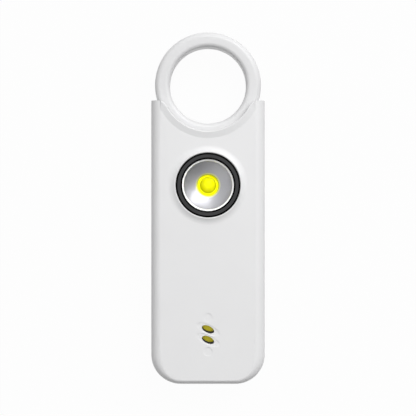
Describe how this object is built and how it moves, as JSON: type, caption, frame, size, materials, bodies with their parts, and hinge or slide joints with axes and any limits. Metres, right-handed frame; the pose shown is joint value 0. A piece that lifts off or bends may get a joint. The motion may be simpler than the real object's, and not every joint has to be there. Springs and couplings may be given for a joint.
{
  "type": "personal safety alarm",
  "caption": "Slim pocket alarm with a pull ring in a cradle, a torch in its face and slanted sound holes; pulling the ring's tongue out closes a leaf switch.",
  "frame": {"origin": "under the middle of the whole alarm, in the plane of its flat back", "axes": "+X across the width, +Y along the length to the pull ring, +Z out of the front face"},
  "size_m": [0.032, 0.0992, 0.013],
  "materials": {
    "shell_white": "satin moulded",
    "ring_white": "satin moulded",
    "bezel_black": "satin moulded",
    "clear_lens": "polished clear plastic",
    "reflector_metal": "vacuum metallised",
    "led_base_white": "moulded",
    "led_phosphor": "silicone over phosphor",
    "board_green": "solder mask",
    "component_black": "moulded",
    "capacitor_tan": "ceramic",
    "ferrite": "sintered",
    "copper": "enamelled wire",
    "spring_steel": "bright rolled",
    "contact_brass": "rolled",
    "cell_steel": "satin pressed",
    "piezo_brass": "rolled",
    "ceramic_cream": "silvered ceramic",
    "foam_grey": "adhesive foam",
    "gasket_black": "moulded rubber",
    "lead_red": "insulated wire",
    "lead_black": "insulated wire",
    "screw_steel": "zinc plated"
  },
  "bodies": {
    "case": {"front_shell": "shell_white", "rear_shell": "shell_white", "retaining_clip": "spring_steel", "torch_bezel": "bezel_black", "torch_lens": "clear_lens", "torch_reflector": "reflector_metal", "led_base": "led_base_white", "led_dome": "led_phosphor", "circuit_board": "board_green", "controller_chip": "component_black", "driver_transistors": "component_black", "resistors": "component_black", "capacitors": "capacitor_tan", "choke_core": "ferrite", "choke_winding": "copper", "switch_terminal": "contact_brass", "contact_bridge": "contact_brass", "coin_cell_rear": "cell_steel", "coin_cell_front": "cell_steel", "negative_contact": "spring_steel", "positive_contact": "spring_steel", "piezo_plate": "piezo_brass", "piezo_ceramic": "ceramic_cream", "piezo_adhesive_ring": "foam_grey", "sound_gasket": "gasket_black", "piezo_lead_live": "lead_red", "piezo_lead_return": "lead_black", "battery_lead": "lead_black", "housing_screws": "screw_steel", "board_screws": "screw_steel"},
    "ring": {"pull_ring": "ring_white"},
    "leaf": {"switch_leaf": "contact_brass"}
  },
  "joints": [
    {"name": "ring_pull", "type": "slide", "parent": "case", "child": "ring", "axis": [0, 1, 0], "range_m": [0, 0.028]},
    {"name": "leaf_swing", "type": "hinge", "parent": "case", "child": "leaf", "pos_m": [0, 0.00202, 0.0063], "axis": [-1, 0, 0], "range_deg": [0, 11.6]}
  ],
  "couplings": [
    {"joint": "leaf_swing", "follows": "ring_pull", "rad_per_m": 7.2}
  ]
}
